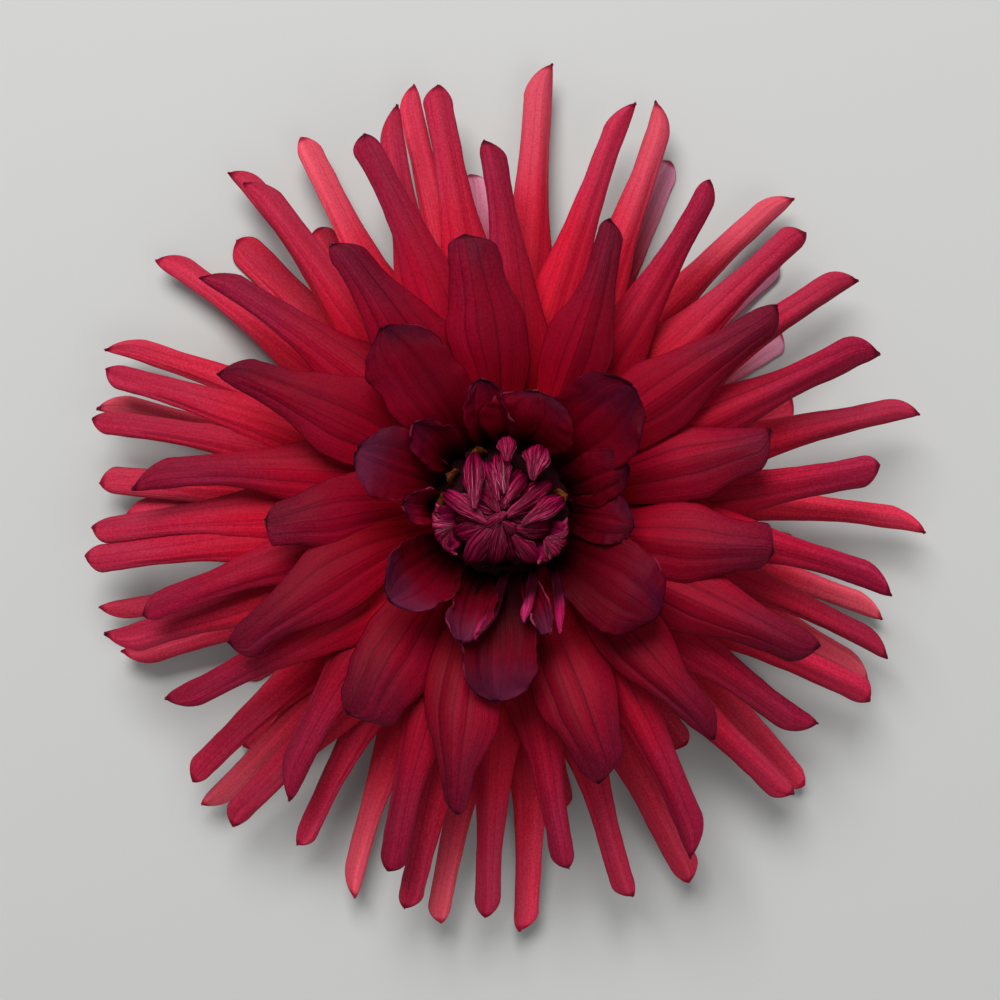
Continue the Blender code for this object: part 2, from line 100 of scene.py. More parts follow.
# Bearing, reach, tip height, half width, dip, roll at the root and at the tip, bow and twist of each
# cupped petal round the heart.
CUPPED_PETALS = (
    (18, 22, 43.5, 8.4, 10, -36, -14, 1, 10),
    (47, 32, 45.0, 9.0, -6, -38, -20, 0, -6),
    (71, 24, 42.0, 5.0, 4, -30, 14, -1, -12),
    (97, 24, 41.0, 5.0, -4, -40, 12, 1, 14),
    (124, 34, 44.0, 8.6, 6, -34, 18, 0, 0),
    (160, 24, 42.0, 3.2, -30, -60, -66, 0, 8),
    (181, 35, 38.0, 7.8, 14, -40, -30, 0, 0),
    (197, 25, 42.0, 5.2, -26, -30, -52, -1, -10),
    (231, 26, 44.0, 7.6, -34, -48, -44, 0, 6),
    (273, 18, 40.0, 4.0, -16, -50, -40, 1, 10),
    (292, 28, 44.0, 6.6, 8, -44, 10, -1, -8),
    (314, 22, 42.5, 5.0, -24, -56, -40, 0, 0),
    (327, 39, 42.0, 7.9, 10, -20, 26, -2, 0),
    (351, 23.5, 43.5, 5.4, 0, -56, -60, -1, 0),
)

# Bearing, reach, tip height and bow of the small curled florets between the cupped petals.
STRAY_FLORETS = (
    (155, 23.0, 43.4, 8),
    (169, 19.6, 42.6, 6),
    (192, 23.0, 43.2, 6),
)

# The closed florets of the heart, each bent in over it: fold x and y and tip x and y, counted from the
# middle of the heart, then half width, tip height, and where its foot stands between tip and fold.
HEART_FLORETS = (
    (-4.9, 11.0, -4.9, 1.2, 2.2, 42.6, 0.45),
    (7.2, 12.2, 5.6, 6.3, 2.9, 42.4, 0.05),
    (1.0, 13.4, 1.2, 9.6, 2.1, 41.4, -0.5),
    (-10.2, 3.8, -2.4, -1.4, 1.8, 41.4, 0.45),
    (11.2, 2.8, 3.7, -1.6, 2.0, 42.2, 0.4),
    (-6.3, -8.4, 0.0, 0.0, 2.9, 40.8, 0.5),
    (-1.4, -8.7, 0.0, -1.4, 2.2, 41.2, 0.5),
    (6.3, -8.2, 2.1, -3.8, 2.4, 41.0, 0.3),
    (4.5, 7.0, 0.5, 1.9, 1.5, 42.0, 0.6),
    (-0.3, 11.0, 0.7, 3.8, 2.2, 41.0, 0.4),
    (9.0, 5.9, 1.0, -0.3, 1.6, 41.8, 0.45),
    (-3.5, 4.9, -0.3, 0.5, 1.4, 42.0, 0.6),
    (-4.4, -2.9, 0.9, 0.4, 1.3, 42.6, 0.6),
    (3.6, -3.6, 0.3, -1.2, 1.3, 42.0, 0.6),
    (-8.4, -3.4, -2.0, -1.6, 2.2, 40.2, 0.5),
    (8.6, -2.6, 2.6, -2.4, 2.2, 40.6, 0.5),
    (-2.6, 9.4, -0.6, 2.6, 1.9, 40.2, 0.5),
)
HEART_X = -0.2
HEART_Y = -1.1

# Bearing and half width of the two broad boat-shaped florets at the heart's rim.
RIM_FLORETS = ((251, 5.0), (124, 5.0))

# Bearing, reach and tip height of the ochre scales at the heart's foot.
SCALE_PLACES = (
    (28, 12.0, 34.4), (79, 12.0, 34.6), (110, 11.6, 33.8), (148, 11.2, 33.2), (178, 11.2, 33.2),
    (210, 11.2, 33.2), (240, 11.4, 33.4), (278, 12.0, 34.6), (303, 11.8, 34.6), (337, 12.2, 34.6),
)  # fmt: skip


@dataclass(frozen=True)
class Petal:
    """One blade. Its shares run from 0 at the root to 1 at the tip, or are parts of its widest half width."""

    root_radius: float
    root_height: float
    rise: float
    reach: float
    tip_height: float
    dip: float
    half_width: float
    claw: float
    widest: float
    waist: float
    shoulder: float
    blunt: float
    root_roll: float
    tip_roll: float
    arm: float = 0.36
    bearing: float = 0.0
    bow: float = 0.0
    twist: float = 0.0
    centre_x: float = AXIS_X
    centre_y: float = AXIS_Y
    slant: float = 0.0
    faded: float = 0.0
    tone: float = 0.5
    shade: float = 0.0


LEAD = Petal(
    root_radius=12.4,
    root_height=22.8,
    rise=36,
    reach=55,
    tip_height=37,
    dip=8,
    half_width=9.0,
    claw=0.3,
    widest=0.5,
    waist=0.6,
    shoulder=0.93,
    blunt=1.9,
    root_roll=14,
    tip_roll=66,
)
SECOND = replace(
    LEAD,
    root_radius=10.5,
    root_height=21.3,
    rise=24,
    reach=71,
    tip_height=26,
    dip=10,
    half_width=8.6,
    claw=0.26,
    widest=0.36,
    waist=0.49,
    shoulder=0.93,
    tip_roll=98,
)
THIRD = replace(
    SECOND,
    root_height=19.5,
    rise=11,
    reach=80,
    tip_height=15,
    dip=10,
    half_width=8.2,
    widest=0.36,
    waist=0.5,
    shoulder=0.935,
    tip_roll=102,
)
FOURTH = replace(
    THIRD,
    root_height=17.9,
    rise=2,
    reach=82,
    tip_height=7,
    dip=8,
    half_width=7.7,
    waist=0.53,
)
BACK = replace(
    FOURTH,
    root_height=16.7,
    rise=-9,
    reach=72,
    tip_height=0.2,
    dip=0,
    half_width=5.4,
    waist=0.66,
    root_roll=6,
    tip_roll=40,
)
CUPPED = replace(
    LEAD,
    root_radius=11.2,
    root_height=27.4,
    rise=60,
    reach=26,
    tip_height=43,
    dip=-12,
    claw=0.42,
    widest=0.66,
    waist=0.94,
    shoulder=0.7,
    blunt=2.6,
    root_roll=-44,
    tip_roll=-14,
)


STRAY = replace(
    CUPPED,
    root_radius=10.8,
    root_height=28.4,
    rise=66,
    dip=-30,
    half_width=1.7,
    claw=0.4,
    widest=0.82,
    waist=0.9,
    shoulder=0.82,
    blunt=1.5,
    root_roll=-40,
    tip_roll=70,
)


def scattered(template, places, draw):
    """One petal at each place, each a little different from the next and clear of its neighbours' height."""
    cuts = random.Random(SEED + len(places))
    return [
        replace(
            template,
            bearing=bearing,
            reach=reach,
            bow=bow,
            slant=slant or cuts.choice((-0.5, -0.3, 0.3, 0.5)),
            root_height=template.root_height + (0.55 if i % 2 else -0.55),
            rise=template.rise + (2.5 if i % 2 else -2.5),
            tip_height=template.tip_height + draw.uniform(-1.8, 1.8) + (1.2 if i % 2 else -1.2),
            dip=template.dip + draw.uniform(-8, 8),
            half_width=template.half_width * draw.uniform(0.92, 1.1),
            waist=template.waist * draw.uniform(0.92, 1.1),
            shoulder=template.shoulder + (-0.01 if slant else 0.02),
            blunt=template.blunt * draw.uniform(0.8, 1.25),
            twist=draw.uniform(-20, 20),
        )
        for i, (bearing, reach, bow, slant) in enumerate(places)
    ]


def open_rows():
    """The open petals, in five rows, from the broad lead petals out to those that lie on the surface."""
    draw = random.Random(SEED)
    rows = (
        (LEAD, LEAD_PETALS),
        (SECOND, SECOND_PETALS),
        (THIRD, THIRD_PETALS),
        (FOURTH, FOURTH_PETALS),
        (BACK, BACK_PETALS),
    )
    rows = [scattered(template, places, draw) for template, places in rows]
    rows[0] = [
        replace(petal, half_width=half_width, widest=widest, waist=waist)
        for petal, (half_width, widest, waist) in zip(rows[0], LEAD_FORMS)
    ]
    return rows


def cupped_row():
    """The young spoon-shaped petals round the heart."""
    names = (
        "bearing",
        "reach",
        "tip_height",
        "half_width",
        "dip",
        "root_roll",
        "tip_roll",
        "bow",
        "twist",
    )
    return [replace(CUPPED, **dict(zip(names, values))) for values in CUPPED_PETALS]


def stray_florets():
    return [
        replace(STRAY, bearing=bearing, reach=reach, tip_height=tip_height, bow=bow)
        for bearing, reach, tip_height, bow in STRAY_FLORETS
    ]


SCALE = Petal(
    root_radius=9.7,
    root_height=30.8,
    rise=50,
    reach=12.2,
    tip_height=34.5,
    dip=-10,
    half_width=1.7,
    claw=0.8,
    widest=0.5,
    waist=0.95,
    shoulder=0.5,
    blunt=2.6,
    root_roll=-30,
    tip_roll=30,
)
FLORET = Petal(
    root_radius=7.0,
    root_height=32.9,
    rise=13,
    reach=0.0,
    tip_height=41.0,
    dip=178,
    half_width=2.4,
    claw=0.25,
    widest=0.76,
    waist=0.9,
    shoulder=0.72,
    blunt=1.3,
    root_roll=-50,
    tip_roll=-78,
)
RIM_FLORET = replace(
    FLORET,
    root_radius=6.6,
    root_height=33.0,
    rise=24,
    reach=9.6,
    tip_height=40.6,
    dip=150,
    claw=0.7,
    widest=0.6,
    shoulder=0.6,
    blunt=2.0,
    root_roll=-40,
    tip_roll=-50,
    arm=0.8,
)


def inner_florets():
    """The lower ring of florets that shows dark between the ones that are bent over it."""
    draw = random.Random(SEED + 1)
    florets = []
    for i in range(15):
        turn = math.radians(i * 24 + draw.uniform(-6, 6))
        fold = draw.uniform(8.0, 9.6)
        tip = draw.uniform(0.4, 2.4)
        florets.append(
            (
                fold * math.sin(turn),
                fold * math.cos(turn),
                tip * math.sin(turn),
                tip * math.cos(turn),
                draw.uniform(1.3, 1.9),
                draw.uniform(38.6, 39.6),
                0.6,
            )
        )
    return tuple(florets)


def heart_florets():
    """The florets that bend in over the heart. The curve of each just reaches its fold."""
    florets = [
        replace(RIM_FLORET, bearing=bearing, half_width=half_width)
        for bearing, half_width in RIM_FLORETS
    ]
    for fold_x, fold_y, tip_x, tip_y, half_width, tip_height, foot in HEART_FLORETS + inner_florets():
        length = math.dist((fold_x, fold_y), (tip_x, tip_y))
        span = math.dist((foot * length, FLORET.root_height), (0.0, tip_height))
        florets.append(
            replace(
                FLORET,
                bearing=math.degrees(math.atan2(fold_x - tip_x, fold_y - tip_y)),
                root_radius=foot * length,
                tip_height=tip_height,
                half_width=half_width,
                arm=length * (1 - 0.62 * foot) / 0.73 / span,
                centre_x=AXIS_X + HEART_X + tip_x,
                centre_y=AXIS_Y + HEART_Y + tip_y,
            )
        )
    return florets


SEPAL = Petal(
    root_radius=9.5,
    root_height=11.6,
    rise=-16,
    reach=26,
    tip_height=2.4,
    dip=36,
    half_width=4.2,
    claw=0.6,
    widest=0.5,
    waist=0.85,
    shoulder=0.66,
    blunt=2.0,
    root_roll=10,
    tip_roll=24,
)
SEPALS = 5
BRACT = replace(
    SEPAL,
    root_height=13.0,
    rise=-8,
    reach=25,
    tip_height=8.4,
    dip=22,
    half_width=5.4,
    claw=0.8,
)
BRACTS = 8


class Number:
    """A number that nodes work out. Python's operators on it add Math nodes to its tree."""

    def __init__(self, tree, socket):
        self.tree = tree
        self.socket = socket

    def maths(self, operation, *others):
        node = self.tree.add("ShaderNodeMath", {"operation": operation}, dict(enumerate((self, *others))))
        return Number(self.tree, node.outputs[0])

    def __add__(self, other):
        return self.maths("ADD", other)

    __radd__ = __add__

    def __mul__(self, other):
        return self.maths("MULTIPLY", other)

    __rmul__ = __mul__

    def __sub__(self, other):
        return self.maths("SUBTRACT", other)

    def __rsub__(self, other):
        return (self * -1) + other

    def __truediv__(self, other):
        return self.maths("DIVIDE", other)

    def __pow__(self, other):
        return self.maths("POWER", other)

    def __neg__(self):
        return self * -1

    def __abs__(self):
        return self.maths("ABSOLUTE")

    def sin(self):
        return self.maths("SINE")

    def cos(self):
        return self.maths("COSINE")

    def root(self):
        return self.maths("SQRT")

    def at_least(self, other):
        return self.maths("MAXIMUM", other)

    def at_most(self, other):
        return self.maths("MINIMUM", other)

    def eased(self):
        """A smooth step from 0 to 1."""
        share = self.at_least(0.0).at_most(1.0)
        return share * share * (3 - 2 * share)

    def ridge(self, place, width):
        """1 at a place and falling away smoothly on both sides of it."""
        away = (self - place) / width
        return (away * away * -1).maths("EXPONENT")


class Tree:
    """A node tree, with one method that adds any node."""

    def __init__(self, nodes, links):
        self.nodes = nodes
        self.links = links

    def add(self, kind, settings=None, sockets=None):
        node = self.nodes.new(kind)
        for name, value in (settings or {}).items():
            if name == "stops":
                for stop, (place, colour) in zip(node.color_ramp.elements, value):
                    stop.position = place
                    stop.color = (*colour, 1)
            else:
                setattr(node, name, value)
        for name, value in (sockets or {}).items():
            socket = getattr(value, "socket", value)
            if isinstance(socket, bpy.types.NodeSocket):
                self.links.new(socket, node.inputs[name])
            else:
                node.inputs[name].default_value = socket
        return node

    def number(self, kind, settings=None, sockets=None, output=0):
        return Number(self, self.add(kind, settings, sockets).outputs[output])


class PetalTree(Tree):
    """The geometry nodes that turn one point for each petal into the row's curved and grooved blades."""

    def __init__(self, name):
        self.group = bpy.data.node_groups.new(name, "GeometryNodeTree")
        super().__init__(self.group.nodes, self.group.links)
        self.inputs = {}
        self.outside = self.nodes.new("NodeGroupInput")
        self.socket("Petals", "Geometry")
        self.socket("Faces across", "Int")
        self.socket("Faces along", "Int")
        self.socket("Slimness", "Float")
        self.socket("Flatness", "Float")
        self.socket("Fold height", "Float")
        self.socket("Groove depth", "Float")
        self.socket("Rib height", "Float")
        self.socket("Pleats", "Float")
        self.socket("Pleat height", "Float")
        self.socket("Crumple", "Float")
        self.socket("Frill", "Float")
        self.socket("Unevenness", "Float")
        self.socket("Lowest", "Float")
        self.socket("Finish", "Material")
        self.group.interface.new_socket(
            name="Blades", in_out="OUTPUT", socket_type="NodeSocketGeometry"
        )
        self.build()

    def socket(self, name, kind):
        made = self.group.interface.new_socket(
            name=name, in_out="INPUT", socket_type="NodeSocket" + kind
        )
        self.inputs[name] = made.identifier

    def given(self, name):
        return Number(self, self.outside.outputs[name])

    def named(self, name):
        return self.number("GeometryNodeInputNamedAttribute", {"data_type": "FLOAT"}, {"Name": name})

    def stored(self, geometry, name, value):
        node = self.add(
            "GeometryNodeStoreNamedAttribute",
            {"data_type": "FLOAT", "domain": "POINT"},
            {"Geometry": geometry, "Name": name, "Value": value},
        )
        return node.outputs["Geometry"]

    def noise(self, x, y, z, scale, detail=2.0):
        place = self.add("ShaderNodeCombineXYZ", sockets={0: x, 1: y, 2: z})
        cloud = self.number(
            "ShaderNodeTexNoise",
            {"noise_dimensions": "3D"},
            {"Vector": place.outputs[0], "Scale": scale, "Detail": detail},
        )
        return cloud - 0.5

    def build(self):
        grid = self.add(
            "GeometryNodeMeshGrid",
            sockets={
                "Size X": 2.0,
                "Size Y": 1.0,
                "Vertices X": self.given("Faces across") + 1,
                "Vertices Y": self.given("Faces along") + 1,
            },
        )
        corner = self.add("GeometryNodeInputPosition")
        parts = self.add("ShaderNodeSeparateXYZ", sockets={0: corner.outputs[0]})
        across = Number(self, parts.outputs[0])
        left = 0.5 - Number(self, parts.outputs[1])
        along = 1 - left.at_least(0.0) ** 1.75
        sheet = self.stored(grid.outputs["Mesh"], "across", across)
        sheet = self.stored(sheet, "along", along)
        sown = self.add(
            "GeometryNodeInstanceOnPoints",
            sockets={"Points": self.outside.outputs["Petals"], "Instance": sheet},
        )
        blades = self.add("GeometryNodeRealizeInstances", sockets={"Geometry": sown.outputs[0]})
        shaped = self.add(
            "GeometryNodeSetPosition",
            sockets={"Geometry": blades.outputs[0], "Position": self.place()},
        )
        smooth = self.add("GeometryNodeSetShadeSmooth", sockets={"Geometry": shaped.outputs[0]})
        dressed = self.add(
            "GeometryNodeSetMaterial",
            sockets={"Geometry": smooth.outputs[0], "Material": self.outside.outputs["Finish"]},
        )
        done = self.nodes.new("NodeGroupOutput")
        self.links.new(dressed.outputs[0], done.inputs["Blades"])

    def place(self):
        """Where each point of a blade lies, by the rule of the part's source, with its grooves and crumples."""
        along = self.named("along")
        across = self.named("across")
        tone = self.named("tone")
        rest = 1 - along
        knots = ("root", "first", "second", "tip")
        radii = [self.named(knot + "_radius") for knot in knots]
        heights = [self.named(knot + "_height") for knot in knots]
        shares = (
            rest * rest * rest,
            3 * rest * rest * along,
            3 * rest * along * along,
            along * along * along,
        )
        slopes = (rest * rest, 2 * rest * along, along * along)

        def on_curve(values):
            return sum(share * value for share, value in zip(shares, values))

        def along_curve(values):
            steps = [after - before for before, after in zip(values, values[1:])]
            return sum(slope * step for slope, step in zip(slopes, steps))

        run = along_curve(radii)
        climb = along_curve(heights)
        length = (run * run + climb * climb).root().at_least(1e-6)
        widest = self.named("widest")
        filling = (along / widest).eased() ** self.given("Slimness")
        swell = self.named("claw") + (1 - self.named("claw")) * filling
        taper = ((along - widest) / (1 - widest)).at_least(0.0)
        narrowing = 1 - (1 - self.named("waist")) * (taper * 0.6 + taper.eased() * 0.4)
        shoulder = self.named("shoulder")
        closing = ((along - shoulder) / (1 - shoulder)).at_least(0.0).at_most(1.0)
        body = (1 - closing ** self.named("blunt")).at_least(0.0) ** 0.65
        waver = self.noise(along * 2.6, tone * 41, across * 0.7, 1.3)
        nicks = self.noise(along * 11, tone * 29, across * 1.6, 1.7) * along * along
        uneven = 1 + (waver + nicks * 0.45) * self.given("Unevenness")
        full_width = self.named("half_width") * swell * narrowing * uneven
        half_width = full_width * body.at_least(0.045)
        root_roll = self.named("root_roll")
        roll = root_roll + (self.named("tip_roll") - root_roll) * ((along - 0.15) / 0.6).eased()
        roll = roll * (1 - 0.12 * ((along - 0.94) / 0.06).eased())
        arch = half_width / roll

        middle = (along / 0.35).eased() * ((0.97 - along) / 0.2).eased()
        crease = abs(across - (tone * 0.5 - 0.25))
        groove = crease.ridge(0.3, 0.07) * -1 * self.given("Groove depth")
        rib = crease.ridge(0.0, 0.2) * self.given("Rib height") - crease * self.given("Fold height")
        crumple = self.noise(across * 0.9, along * 3.2, tone * 37, 1.6) * self.given("Crumple")
        frill = self.noise(along * 9, tone * 23, across * 0.5, 1.4) * self.given("Frill")
        wander = self.noise(along * 1.7, tone * 19, across * 2.0, 1.0) * 5
        pleats = (across * self.given("Pleats") + wander).cos() * self.given("Pleat height")
        lift = (groove + rib + pleats) * middle
        lift = lift + crumple * along + frill * (abs(across) ** 3.0) * along

        angle = roll * across
        side = (arch + lift) * angle.sin()
        up = (arch * angle.cos() - arch) * self.given("Flatness") + lift * angle.cos()
        turn = self.named("twist") * along * along
        side, up = side * turn.cos() - up * turn.sin(), side * turn.sin() + up * turn.cos()
        sway = self.noise(along * 2.4, tone * 51, 0.0, 1.0) * 0.003
        slant = self.named("slant") * (1 - body) * full_width * 0.5
        side = side + self.named("bow") * along * along + sway * along * rest + slant
        radius = on_curve(radii) - up * climb / length
        height = on_curve(heights) + up * run / length
        bearing = self.named("bearing")
        x = radius * bearing.sin() + side * bearing.cos() + self.named("centre_x")
        y = radius * bearing.cos() - side * bearing.sin() + self.named("centre_y")
        z = height.at_least(self.given("Lowest"))
        return self.add("ShaderNodeCombineXYZ", sockets={0: x, 1: y, 2: z}).outputs[0]


class Finish(Tree):
    """A Principled material that is written as expressions."""

    def __init__(self, name, **constants):
        self.material = bpy.data.materials.new(name)
        self.material.use_nodes = True
        super().__init__(self.material.node_tree.nodes, self.material.node_tree.links)
        self.shader = self.nodes["Principled BSDF"]
        for socket, value in constants.items():
            self.shader.inputs[socket.replace("_", " ")].default_value = value

    def named(self, name):
        return self.number(
            "ShaderNodeAttribute",
            {"attribute_type": "GEOMETRY", "attribute_name": name},
            output="Fac",
        )

    def colour(self, rgb):
        return (*rgb, 1)

    def mixed(self, share, first, second, blend="MIX"):
        first = first if isinstance(first, bpy.types.NodeSocket) else self.colour(first)
        second = second if isinstance(second, bpy.types.NodeSocket) else self.colour(second)
        node = self.add(
            "ShaderNodeMix",
            {"data_type": "RGBA", "blend_type": blend},
            {0: share, 6: first, 7: second},
        )
        return node.outputs[2]

    def noise(self, x, y, z, scale, detail=3.0, roughness=0.55):
        place = self.add("ShaderNodeCombineXYZ", sockets={0: x, 1: y, 2: z})
        return self.number(
            "ShaderNodeTexNoise",
            {"noise_dimensions": "3D"},
            {"Vector": place.outputs[0], "Scale": scale, "Detail": detail, "Roughness": roughness},
        )

    def object_noise(self, scale, detail=3.0):
        place = self.add("ShaderNodeTexCoord")
        return self.number(
            "ShaderNodeTexNoise",
            {"noise_dimensions": "3D"},
            {"Vector": place.outputs["Object"], "Scale": scale, "Detail": detail},
        )

    def finish(self, colour, roughness=None, height=None, depth=0.0001):
        self.links.new(colour, self.shader.inputs["Base Color"])
        if roughness is not None:
            self.links.new(roughness.socket, self.shader.inputs["Roughness"])
        if height is not None:
            bump = self.add(
                "ShaderNodeBump", sockets={"Height": height, "Distance": depth, "Strength": 1.0}
            )
            self.links.new(bump.outputs[0], self.shader.inputs["Normal"])
        return self.material


def petal_finish(
    name,
    root,
    middle,
    tip,
    margin,
    bloom,
    edge=None,
    vein_and_groove_shade=0.5,
    softness=0.56,
    faded=None,
    turn=0.5,
    gloss=0.06,
    lit_from=0.3,
):
    """A velvety petal: its colours from root to tip, a crease with one half painted darker as painted shade,
    dark veins, painted shade along its grooves, its edge, a pale bloom that is partly painted sheen, and
    painted shadow from the root on petals that have a shade value.
    """
    made = Finish(
        name,
        Subsurface_Weight=0.06,
        Subsurface_Radius=(0.003, 0.0003, 0.0003),
        Specular_IOR_Level=gloss,
    )
    along = made.named("along")
    across = made.named("across")
    tone = made.named("tone")
    crease = across - (tone * 0.5 - 0.25)
    streaks = made.noise(across * 9, along * 1.1, tone * 40, 1.0, detail=5.0, roughness=0.62)
    threads = made.noise(across * 34, along * 1.6, tone * 60, 1.0, detail=2.0)
    clouds = made.noise(across * 1.2, along * 3.0, tone * 20, 1.0)
    colour = made.mixed(((along - 0.1) / 0.45).eased(), root, middle)
    colour = made.mixed(((along + (clouds - 0.5) * 0.4 - turn) / 0.42).eased(), colour, tip)
    if faded:
        share = made.named("faded") * ((along + (streaks - 0.5) * 0.3 - 0.62) / 0.36).eased()
        colour = made.mixed(share * 0.85, colour, faded)
    # A pale bloom towards the tip: partly the petal's own bloom, partly painted sheen.
    dust_and_sheen = ((along - 0.35) / 0.6).eased() * ((clouds - 0.42) * 3).at_least(0.0).at_most(1.0)
    colour = made.mixed(dust_and_sheen * (0.05 + 0.75 * threads), colour, bloom)
    lines = ((streaks - 0.48) * 6).at_least(0.0).at_most(1.0)
    colour = made.mixed(lines * vein_and_groove_shade * 0.22, colour, margin)
    # A fine grain of dark specks and of pale specks in the bloom colour, which is partly painted sheen.
    grain = made.object_noise(2400, 3.0)
    outer = ((along - 0.3) / 0.5).eased()
    colour = made.mixed(outer * ((grain - 0.5) * 2.0).at_least(0.0).at_most(0.3), colour, bloom)
    colour = made.mixed(((0.5 - grain) * 1.6).at_least(0.0).at_most(0.25), colour, margin)
    # Painted shade: one half of the blade, beside the crease, is darkened.
    half = (crease * 7 + 0.5).at_least(0.0).at_most(1.0)
    colour = made.mixed(half * 0.5, colour, (0.5, 0.38, 0.46), "MULTIPLY")
    # Painted shade: dark lines along the two grooves and the crease.
    grooves = abs(crease).ridge(0.3, 0.03) * (0.2 + 0.7 * streaks)
    grooves = grooves.at_least((crease + 0.03).ridge(0.0, 0.022) * 0.5)
    colour = made.mixed(grooves * vein_and_groove_shade, colour, margin)
    at_tip = ((along - 0.88) / 0.08).eased()
    rim = ((abs(across) - 0.92) / 0.08).eased() * (0.25 + 0.55 * at_tip)
    rim = rim.at_least(((along - 0.982) / 0.012).eased() * 0.85)
    colour = made.mixed(rim, colour, margin)
    if edge:
        patches = made.noise(along * 5, across * 1.5, tone * 70, 1.0, detail=1.0)
        lit = ((abs(across) - 0.95) / 0.05).eased() * ((patches - 0.6) * 9).at_least(0.0).at_most(0.9)
        colour = made.mixed(lit, colour, edge)
    # A random tone darkens each petal; for the inner open rows it also holds painted shade below the heart.
    colour = made.mixed(tone * 0.6, colour, (0.52, 0.45, 0.52), "MULTIPLY")
    # Painted shadow: petals with a shade value are darkened from the root, fading out past lit_from.
    deep = made.named("shade") * (1 - ((along - lit_from) / 0.5).eased())
    colour = made.mixed(deep * 0.93, colour, (0.004, 0.0, 0.0005))
    roughness = softness + 0.16 * (streaks - 0.5)
    height = streaks * 0.7 + threads * 0.3
    return made.finish(colour, roughness, height, depth=0.00025)


def floret_finish(name, ground, ridge, edge, silver_and_highlight, start=0.36):
    """A closed floret: deep magenta with paler lengthwise ridges and a silvery edge, silvery frost towards its
    end that is partly painted highlight, painted shade below the heart, and a foot painted dark as painted
    shadow.
    """
    made = Finish(
        name,
        Subsurface_Weight=0.05,
        Subsurface_Radius=(0.001, 0.0002, 0.0004),
        Specular_IOR_Level=0.06,
    )
    along = made.named("along")
    across = made.named("across")
    tone = made.named("tone")
    streaks = made.noise(across * 7, along * 1.3, tone * 40, 1.0, detail=4.0, roughness=0.6)
    threads = made.noise(across * 26, along * 2.2, tone * 60, 1.0, detail=3.0)
    ribs = ((streaks * 0.8 + threads * 0.5 - 0.62) * 8).at_least(0.0).at_most(1.0)
    colour = made.mixed(ribs, ground, ridge)
    frost = made.noise(across * 40, along * 14, tone * 80, 1.0, detail=4.0, roughness=0.7)
    # Silvery frost towards the end: partly the floret's own pale bloom, partly painted highlight.
    ends = ((along - 0.55) / 0.4).eased() * (0.2 + tone * 0.8)
    frost_and_highlight = ((frost * 0.6 + threads * 0.6 - 0.63) * 7).at_least(0.0).at_most(0.9)
    colour = made.mixed(ends * frost_and_highlight, colour, silver_and_highlight)
    rim = ((abs(across) - 0.86) / 0.12).eased() * ((frost - 0.36) * 5).at_least(0.0).at_most(1.0)
    colour = made.mixed(rim * ((along - 0.3) / 0.4).eased(), colour, edge)
    # Painted shade: florets below the heart are darkened.
    colour = made.mixed(made.named("shade") * 0.45, colour, (0.16, 0.10, 0.14), "MULTIPLY")
    # Painted shadow: the foot is nearly black up to start, where the florets above shade it.
    shaded_foot = 1 - ((along - start) / 0.24).eased()
    colour = made.mixed(shaded_foot * 0.94, colour, (0.008, 0.0002, 0.002))
    return made.finish(colour, 0.46 + 0.2 * (threads - 0.5), streaks * 0.6 + threads * 0.4, depth=0.0004)


def back_finish(name, colour, pale):
    """The underside of a petal: paler, with raised veins."""
    made = Finish(
        name,
        Subsurface_Weight=0.1,
        Subsurface_Radius=(0.004, 0.0008, 0.0008),
        Specular_IOR_Level=0.15,
    )
    along = made.named("along")
    across = made.named("across")
    streaks = made.noise(across * 8, along * 1.2, made.named("tone") * 33, 1.0, detail=5.0)
    shade = made.mixed(((streaks - 0.35) * 2.4).at_least(0.0).at_most(1.0), colour, pale)
    shade = made.mixed(((along - 0.92) / 0.05).eased() * 0.9, shade, (0.10, 0.002, 0.014))
    return made.finish(shade, 0.5 + 0.2 * (streaks - 0.5), streaks, depth=0.0003)


def flesh_finish(name, first, second, scale, roughness=0.6, gloss=0.4):
    """A mottled green, pale or dark plant surface."""
    made = Finish(
        name,
        Subsurface_Weight=0.08,
        Subsurface_Radius=(0.002, 0.002, 0.001),
        Specular_IOR_Level=gloss,
    )
    mottle = made.object_noise(scale, 4.0)
    fine = made.object_noise(scale * 6, 3.0)
    shade = made.mixed(((mottle - 0.3) * 2.5).at_least(0.0).at_most(1.0), first, second)
    return made.finish(shade, roughness + 0.2 * (fine - 0.5), mottle * 0.6 + fine * 0.4, depth=0.0004)


def petal_points(name, petals):
    """One point for each petal, holding all that the rule needs to shape it."""
    mesh = bpy.data.meshes.new(name)
    mesh.from_pydata([(0, 0, 0)] * len(petals), [], [])
    columns = {}

    def put(column, value):
        columns.setdefault(column, []).append(value)

    for petal in petals:
        root = (petal.root_radius, petal.root_height)
        tip = (petal.reach, petal.tip_height)
        arm = math.dist(root, tip) * petal.arm
        rise = math.radians(petal.rise)
        dip = math.radians(-petal.dip)
        first = (root[0] + arm * math.cos(rise), root[1] + arm * math.sin(rise))
        second = (tip[0] - arm * math.cos(dip), tip[1] - arm * math.sin(dip))
        for knot, (radius, height) in zip(
            ("root", "first", "second", "tip"), (root, first, second, tip)
        ):
            put(knot + "_radius", radius * MM)
            put(knot + "_height", height * MM)
        for size in ("half_width", "bow", "centre_x", "centre_y"):
            put(size, getattr(petal, size) * MM)
        turned_back = math.atan2(petal.bow, max(petal.reach, 1.0))
        put("bearing", math.radians(petal.bearing) - turned_back)
        for angle in ("root_roll", "tip_roll", "twist"):
            put(angle, math.radians(getattr(petal, angle)))
        for share in ("claw", "widest", "waist", "shoulder", "blunt", "slant", "faded", "tone", "shade"):
            put(share, getattr(petal, share))
    for column, values in columns.items():
        mesh.attributes.new(column, "FLOAT", "POINT").data.foreach_set("value", values)
    return mesh


